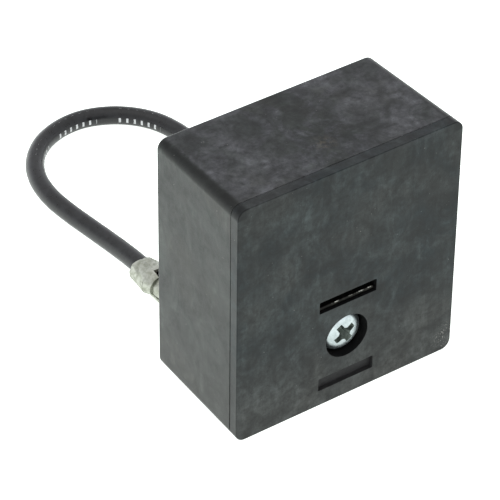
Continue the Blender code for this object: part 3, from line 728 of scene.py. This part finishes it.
def make_washers(steel, zinc):
    """Split lock washer with a sprung slit, and a stamped flat washer."""
    low, high = SPRING_LOW.y, SPRING_HIGH.y
    middle, half_width = 3.65, 0.93
    section = rounded_outline(2 * half_width, high - low - 0.1, 0.18, 3)
    rings, steps = [], 96
    for k in range(steps + 1):
        a = radians(6 + 344 * k / steps)
        tilt = 0.05 * (2 * k / steps - 1)
        rings.append([((middle + dr) * cos(a), (low + high) / 2 + dy + tilt,
                       SCREW_Z + (middle + dr) * sin(a)) for dr, dy in section])
    spring = mesh_object("lock_washer", loft(rings), steel)
    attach(spring, BODY_WASHERS)
    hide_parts("spring_washer")
    low, high = FLAT_LOW.y, FLAT_HIGH.y
    section = [(2.85, low), (4.8, low), (4.95, low + 0.1), (5.0, low + 0.25), (5.0, high - 0.05),
               (4.95, high), (2.95, high), (2.8, high - 0.15), (2.8, low + 0.05)]
    washer = mesh_object("plain_washer", ring_lathe(section, 96, z=SCREW_Z), zinc)
    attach(washer, BODY_WASHERS)
    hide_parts("flat_washer")


def make_plate(finish):
    """Contact plate with a rounded bend and a sheared, rounded tongue edge."""
    low, high = PLATE_LOW, PLATE_HIGH
    bend_z = high.z - PLATE_THICKNESS
    inner, outer = 0.5, 0.5 + PLATE_THICKNESS
    cy, cz = high.y - outer, high.z - outer
    outline = [(high.y - PLATE_THICKNESS, low.z), (high.y, low.z)]
    outline += [(cy + outer * cos(pi / 2 * k / 8), cz + outer * sin(pi / 2 * k / 8))
                for k in range(9)]
    outline += [(low.y + 0.15, high.z), (low.y, high.z - 0.2), (low.y, bend_z + 0.2),
                (low.y + 0.15, bend_z)]
    outline += [(cy + inner * cos(pi / 2 * k / 8), cz + inner * sin(pi / 2 * k / 8))
                for k in range(8, -1, -1)]
    rings = [[(x, y, z) for y, z in outline] for x in (low.x, high.x)]
    plate = mesh_object("contact_plate", loft(rings), finish)
    hole = PLATE_HOLE / 2
    combine(plate, lathe([(hole, low.y - 1), (hole, high.y + 1)], 64, z=SCREW_Z), "DIFFERENCE")
    soften(plate, 0.06)
    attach(plate, BODY_CASE)
    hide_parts("terminal_plate")


# ---- lead -------------------------------------------------------------------------------
def smooth_route(points, count):
    """Evenly spaced points on a Catmull-Rom curve through the given points."""
    knots = [Vector(p) for p in points]
    knots = [2 * knots[0] - knots[1]] + knots + [2 * knots[-1] - knots[-2]]
    fine = []
    for p0, p1, p2, p3 in zip(knots, knots[1:], knots[2:], knots[3:]):
        for k in range(16):
            t = k / 16
            fine.append(0.5 * (2 * p1 + (p2 - p0) * t + (2 * p0 - 5 * p1 + 4 * p2 - p3) * t ** 2
                               + (3 * p1 - p0 - 3 * p2 + p3) * t ** 3))
    fine.append(knots[-2])
    lengths = [0.0]
    for a, b in zip(fine, fine[1:]):
        lengths.append(lengths[-1] + (b - a).length)
    result, at = [], 0
    for k in range(count):
        want = lengths[-1] * k / (count - 1)
        while at < len(fine) - 2 and lengths[at + 1] < want:
            at += 1
        part = (want - lengths[at]) / (lengths[at + 1] - lengths[at])
        result.append(fine[at].lerp(fine[at + 1], part))
    return result, lengths[-1]


def make_lead(finish):
    """The insulated lead, as a tube that carries its length and angle as attributes."""
    path, length = smooth_route(LEAD_ROUTE, 181)
    sides, radius = 40, WIRE_DIAMETER / 2
    bm = bmesh.new()
    along_layer = bm.verts.layers.float.new("along_mm")
    around_layer = bm.verts.layers.float.new("around")
    rows = []
    for k, centre in enumerate(path):
        ahead = path[min(k + 1, len(path) - 1)] - path[max(k - 1, 0)]
        ahead.normalize()
        side = ahead.cross(Vector((0, 0, 1))).normalized()
        up = side.cross(ahead)
        row = []
        for i in range(sides):
            a = tau * i / sides
            wobble = 0.02 * noise.noise(Vector((centre.x * 0.15, centre.y * 0.15, a)))
            vert = bm.verts.new(centre + (up * cos(a) + side * sin(a)) * (radius + wobble))
            vert[along_layer] = length * k / (len(path) - 1)
            vert[around_layer] = a
            row.append(vert)
        rows.append(row)
    for row, following in zip(rows, rows[1:]):
        for i in range(sides):
            j = (i + 1) % sides
            bm.faces.new((row[i], row[j], following[j], following[i]))
    bm.faces.new(rows[0])
    bm.faces.new(rows[-1])
    wire = mesh_object("lead_jacket", bm, finish)
    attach(wire, BODY_CASE)
    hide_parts("lead_wire")
    return wire, [p * MM for p in path], length * MM


def make_grommet(finish):
    """Bushing with a collar and a tapered tail with bending grooves."""
    x = (GROMMET_LOW.x + GROMMET_HIGH.x) / 2
    z = (GROMMET_LOW.z + GROMMET_HIGH.z) / 2
    bore, flange, body = 2.16, 5.4, 3.8
    inner = REAR - WALL - 0.5
    tip = GROMMET_HIGH.y + 0.5
    section = [(bore + 0.24, inner - 1.0), (flange - 0.2, inner - 1.0), (flange, inner - 0.8),
               (flange, inner), (body, inner), (body, REAR - 0.38), (flange - 0.1, REAR - 0.38),
               (flange, REAR + 0.3), (flange, REAR + 1.2), (flange - 0.25, REAR + 1.6),
               (flange - 0.8, REAR + 1.75), (4.35, REAR + 2.2)]
    grooves, start, end = 5, REAR + 3.0, tip - 2.2
    for k in range(grooves):
        y = start + (end - start) * k / (grooves - 1)
        r = 4.2 - 1.2 * (y - REAR - 2.2) / (tip - REAR - 2.2)
        section += [(r, y - 0.45), (r - 0.12, y - 0.3), (r - 0.6, y - 0.22),
                    (r - 0.6, y + 0.22), (r - 0.17, y + 0.3), (r - 0.05, y + 0.45)]
    section += [(2.95, tip - 0.6), (2.78, tip - 0.15), (2.6, tip), (bore, tip)]
    grommet = mesh_object("strain_relief", ring_lathe(section, 72, x=x, z=z), finish, smooth=50.0)
    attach(grommet, BODY_CASE)
    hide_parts("lead_grommet")
    return grommet


# ---- ring terminal ----------------------------------------------------------------------
def crimp_section(radius, thickness, curl, samples=44):
    """Closed outline of a rolled strip: round below, both edges curled in at the top."""
    centre_line = []
    for k in range(samples + 1):
        t = 2 * k / samples - 1
        a = -pi / 2 + t * pi * 1.02
        r = radius
        x, z = r * cos(a), r * sin(a)
        tuck = max(0.0, abs(t) - 0.80) / 0.20
        z -= curl * tuck ** 2
        x *= 1 - 0.15 * tuck
        centre_line.append(Vector((x, z)))
    outer, inner = [], []
    for k, point in enumerate(centre_line):
        ahead = centre_line[min(k + 1, samples)] - centre_line[max(k - 1, 0)]
        normal = Vector((ahead.y, -ahead.x)).normalized() * thickness / 2
        outer.append(point + normal)
        inner.append(point - normal)
    return outer + inner[::-1]


def barrel(y0, y1, radii, thickness, curl, flare, axis, crumple, seed, wide=1.0, steps=18):
    """Crimped barrel: a rolled strip with flared mouths and an uneven surface."""
    x0, z0 = axis
    rings = []
    for k in range(steps + 1):
        t = k / steps
        mouth = max(0.0, abs(2 * t - 1) - 0.7) / 0.3
        radius = radii[0] + (radii[1] - radii[0]) * t + flare * mouth ** 2
        rings.append([dented(x0, z0, point, y0 + (y1 - y0) * t, crumple, seed, wide)
                      for point in crimp_section(radius, thickness, curl)])
    return loft(rings)


def dented(x0, z0, point, y, crumple, seed, wide):
    """A section point moved by the dents that the crimping tool leaves."""
    bend = noise.noise(Vector((point.x * 0.55, y * 0.7, point.y * 0.55 + seed)))
    fine = noise.noise(Vector((point.x * 1.6, y * 1.5, point.y * 1.6 - seed)))
    grow = 1 + crumple * bend + 0.5 * crumple * fine
    low = -z0 + TERMINAL_LOW.z + 0.02
    return (x0 + wide * point.x * grow, y + 0.12 * bend, z0 + max(low, point.y * grow))


def trough(y0, y1, radii, thickness, axis, seed, wide, steps=10):
    """Shoulder between the two barrels, with a narrow opening at its upper right."""
    rings = []
    for k in range(steps + 1):
        t = k / steps
        radius = radii[0] + (radii[1] - radii[0]) * t
        turn = [radians(100 + 290 * i / 32) for i in range(33)]
        outer = [Vector((cos(a), sin(a))) * (radius + thickness / 2) for a in turn]
        inner = [Vector((cos(a), sin(a))) * (radius - thickness / 2) for a in turn[::-1]]
        rings.append([dented(*axis, point, y0 + (y1 - y0) * t, 0.05, seed, wide)
                      for point in outer + inner])
    return loft(rings)


def make_ring_terminal(finish, copper):
    """Stamped ring tongue, rolled conductor barrel and insulation barrel."""
    x0 = (TERMINAL_LOW.x + TERMINAL_HIGH.x) / 2
    axis_z = (TERMINAL_LOW.z + TERMINAL_HIGH.z) / 2
    ring_radius = (TERMINAL_HIGH.x - TERMINAL_LOW.x) / 2
    ring_y = TERMINAL_LOW.y + ring_radius
    end_y = TERMINAL_HIGH.y
    low, high = TERMINAL_LOW.z, TERMINAL_LOW.z + 0.9
    arc, opening = [], radians(62)
    for k in range(73):
        a = pi / 2 + opening / 2 + (tau - opening) * k / 72
        arc.append((x0 + ring_radius * cos(a), ring_y + ring_radius * sin(a)))
    crimp_start = ring_y + RING_TO_BARREL
    outline = arc + [(x0 + 2.0, ring_y + 4.9), (x0 + 1.9, crimp_start + 0.9),
                     (x0 - 1.9, crimp_start + 0.9), (x0 - 2.0, ring_y + 4.9)]
    tongue = mesh_object("ring_tongue", loft([[(x, y, z) for x, y in outline]
                                              for z in (low, high)]), finish)
    turn, hole_radius = [tau * i / 64 for i in range(64)], RING_HOLE / 2
    hole = [[(x0 + hole_radius * cos(a), ring_y + hole_radius * sin(a), z) for a in turn]
            for z in (low - 1, high + 1)]
    combine(tongue, loft(hole), "DIFFERENCE")
    soften(tongue, 0.12)
    middle = (x0 - 0.25, axis_z)
    wire_side = end_y - INSULATION_BARREL
    screw_side = wire_side - BARREL_SHOULDER
    pieces = [tongue]
    pieces.append(mesh_object("conductor_barrel", barrel(
        crimp_start, screw_side, (1.75, 2.08), 0.75, 1.0, 0.0, (x0 + 0.1, axis_z - 0.2),
        0.07, 3.0, 1.08), finish))
    pieces.append(mesh_object("insulation_barrel", barrel(
        wire_side, end_y - 0.1, (2.80, 2.42), 0.72, 0.6, 0.02, middle, 0.10, 11.0, 1.12),
        finish))
    pieces.append(mesh_object("barrel_trough", trough(
        screw_side - 0.35, wire_side + 0.3, (2.12, 2.86), 0.74, middle, 11.0, 1.12), finish))
    strip = rounded_outline(3.6, 0.75, 0.2, 3)
    rings = [[(x0 + a, y, b + TERMINAL_LOW.z + 0.55) for a, b in strip]
             for y in (crimp_start - 0.6, end_y - 3.0)]
    pieces.append(mesh_object("barrel_bridge", loft(rings), finish))
    for piece in pieces:
        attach(piece, BODY_CASE)
    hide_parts("ring_terminal")
    strands = make_strands(copper, x0, axis_z - 0.2, crimp_start - 0.9, end_y - 5.2)
    return pieces + [strands]


def make_strands(finish, x0, z0, y0, y1):
    """Twisted strands of the bare conductor."""
    bm = bmesh.new()
    layout = [(0.0, 0.0)] + [(0.72, tau * i / 6) for i in range(6)]
    radius, lay = 0.38, 14.0
    for distance, start in layout:
        rings = []
        for k in range(25):
            y = y0 + (y1 - y0) * k / 24
            a = start + tau * (y - y0) / lay
            cx, cz = x0 + distance * cos(a), z0 + distance * sin(a)
            rings.append([(cx + radius * cos(tau * i / 12), y, cz + radius * sin(tau * i / 12))
                          for i in range(12)])
        loft(rings, bm=bm)
    strands = mesh_object("bare_strands", bm, finish)
    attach(strands, BODY_CASE)
    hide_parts("lead_conductor")
    return strands


# ---- pieces inside the case -------------------------------------------------------------
INNER_FINISHES = {
    # node: (base colour, second colour, roughness, metallic)
    "terminal_nut": ((0.66, 0.48, 0.20), (0.78, 0.60, 0.30), 0.32, 1.0),
    "line_strap": ((0.60, 0.59, 0.56), (0.74, 0.73, 0.70), 0.34, 1.0),
    "circuit_board": ((0.03, 0.13, 0.06), (0.05, 0.18, 0.09), 0.48, 0.0),
    "board_screw_left": ((0.60, 0.62, 0.63), (0.75, 0.77, 0.78), 0.34, 1.0),
    "board_screw_right": ((0.60, 0.62, 0.63), (0.75, 0.77, 0.78), 0.34, 1.0),
    "varistor_1": ((0.02, 0.09, 0.30), (0.03, 0.13, 0.40), 0.42, 0.0),
    "varistor_2": ((0.02, 0.09, 0.30), (0.03, 0.13, 0.40), 0.42, 0.0),
    "varistor_3": ((0.02, 0.09, 0.30), (0.03, 0.13, 0.40), 0.42, 0.0),
    "thermal_cutoff": ((0.55, 0.54, 0.50), (0.70, 0.69, 0.66), 0.36, 1.0),
    "bleed_resistor": ((0.36, 0.52, 0.56), (0.46, 0.62, 0.64), 0.45, 0.0),
    "film_capacitor": ((0.56, 0.43, 0.06), (0.66, 0.53, 0.10), 0.46, 0.0),
    "insulating_barrier": ((0.26, 0.22, 0.16), (0.36, 0.31, 0.24), 0.80, 0.0),
    "potting_compound": ((0.016, 0.016, 0.018), (0.032, 0.032, 0.035), 0.32, 0.0),
    "inner_lead": ((0.010, 0.010, 0.011), (0.022, 0.023, 0.026), 0.32, 0.0),
    "lead_lug": ((0.58, 0.57, 0.54), (0.72, 0.71, 0.68), 0.34, 1.0),
}


def finish_inner_pieces():
    """Give the CAD nodes inside the case, which are shown as they are, their finishes."""
    for node, (base, other, roughness, metallic) in INNER_FINISHES.items():
        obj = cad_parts[node]
        finish = simple_finish(node + "_finish", base, other, roughness, metallic)
        obj.data.materials.clear()
        obj.data.materials.append(finish)


def main():
    make_camera()
    make_stage()
    jacket = wire_insulation()
    lead, path, length = make_lead(jacket)
    rubber = simple_finish("bushing_rubber", (0.012, 0.012, 0.013), (0.026, 0.027, 0.028), 0.55)
    grommet = make_grommet(rubber)
    tin = plated_metal("tin_plating", (0.46, 0.47, 0.42), (0.29, 0.30, 0.25), 0.48)
    zinc = plated_metal("zinc_plating", (0.53, 0.59, 0.60), (0.40, 0.45, 0.46), 0.34, spots=0.12)
    spring = plated_metal("spring_steel", (0.46, 0.46, 0.47), (0.30, 0.30, 0.31), 0.38)
    copper = plated_metal("bare_copper", (0.72, 0.40, 0.26), (0.52, 0.27, 0.16), 0.36)
    terminal = make_ring_terminal(tin, copper)
    # painted shade: near-black, hardly shiny walls in the counterbore and through slot
    black = dark_recess("hole_wall_shade", (0.004, 0.004, 0.004), 0.06)
    dim = dark_recess("blind_slot_wall", (0.014, 0.014, 0.014), 0.26)
    make_cover(moulded_plastic("cover_plastic", (0.005, 0.008, 0.009), (0.015, 0.019, 0.019),
                               0.40, 0.15, 0.20), black, dim)
    make_case(moulded_plastic("case_plastic", (0.006, 0.008, 0.007), (0.017, 0.020, 0.018),
                              0.30, 1.0, 0.225))
    # grime and painted shade for the inside of the cross recess
    make_screw(zinc, plated_metal("recess_grime_and_shade", (0.22, 0.255, 0.23), (0.12, 0.145, 0.125), 0.58))
    make_washers(spring, zinc)
    make_plate(tongue_shade_and_glints())
    finish_inner_pieces()


main()
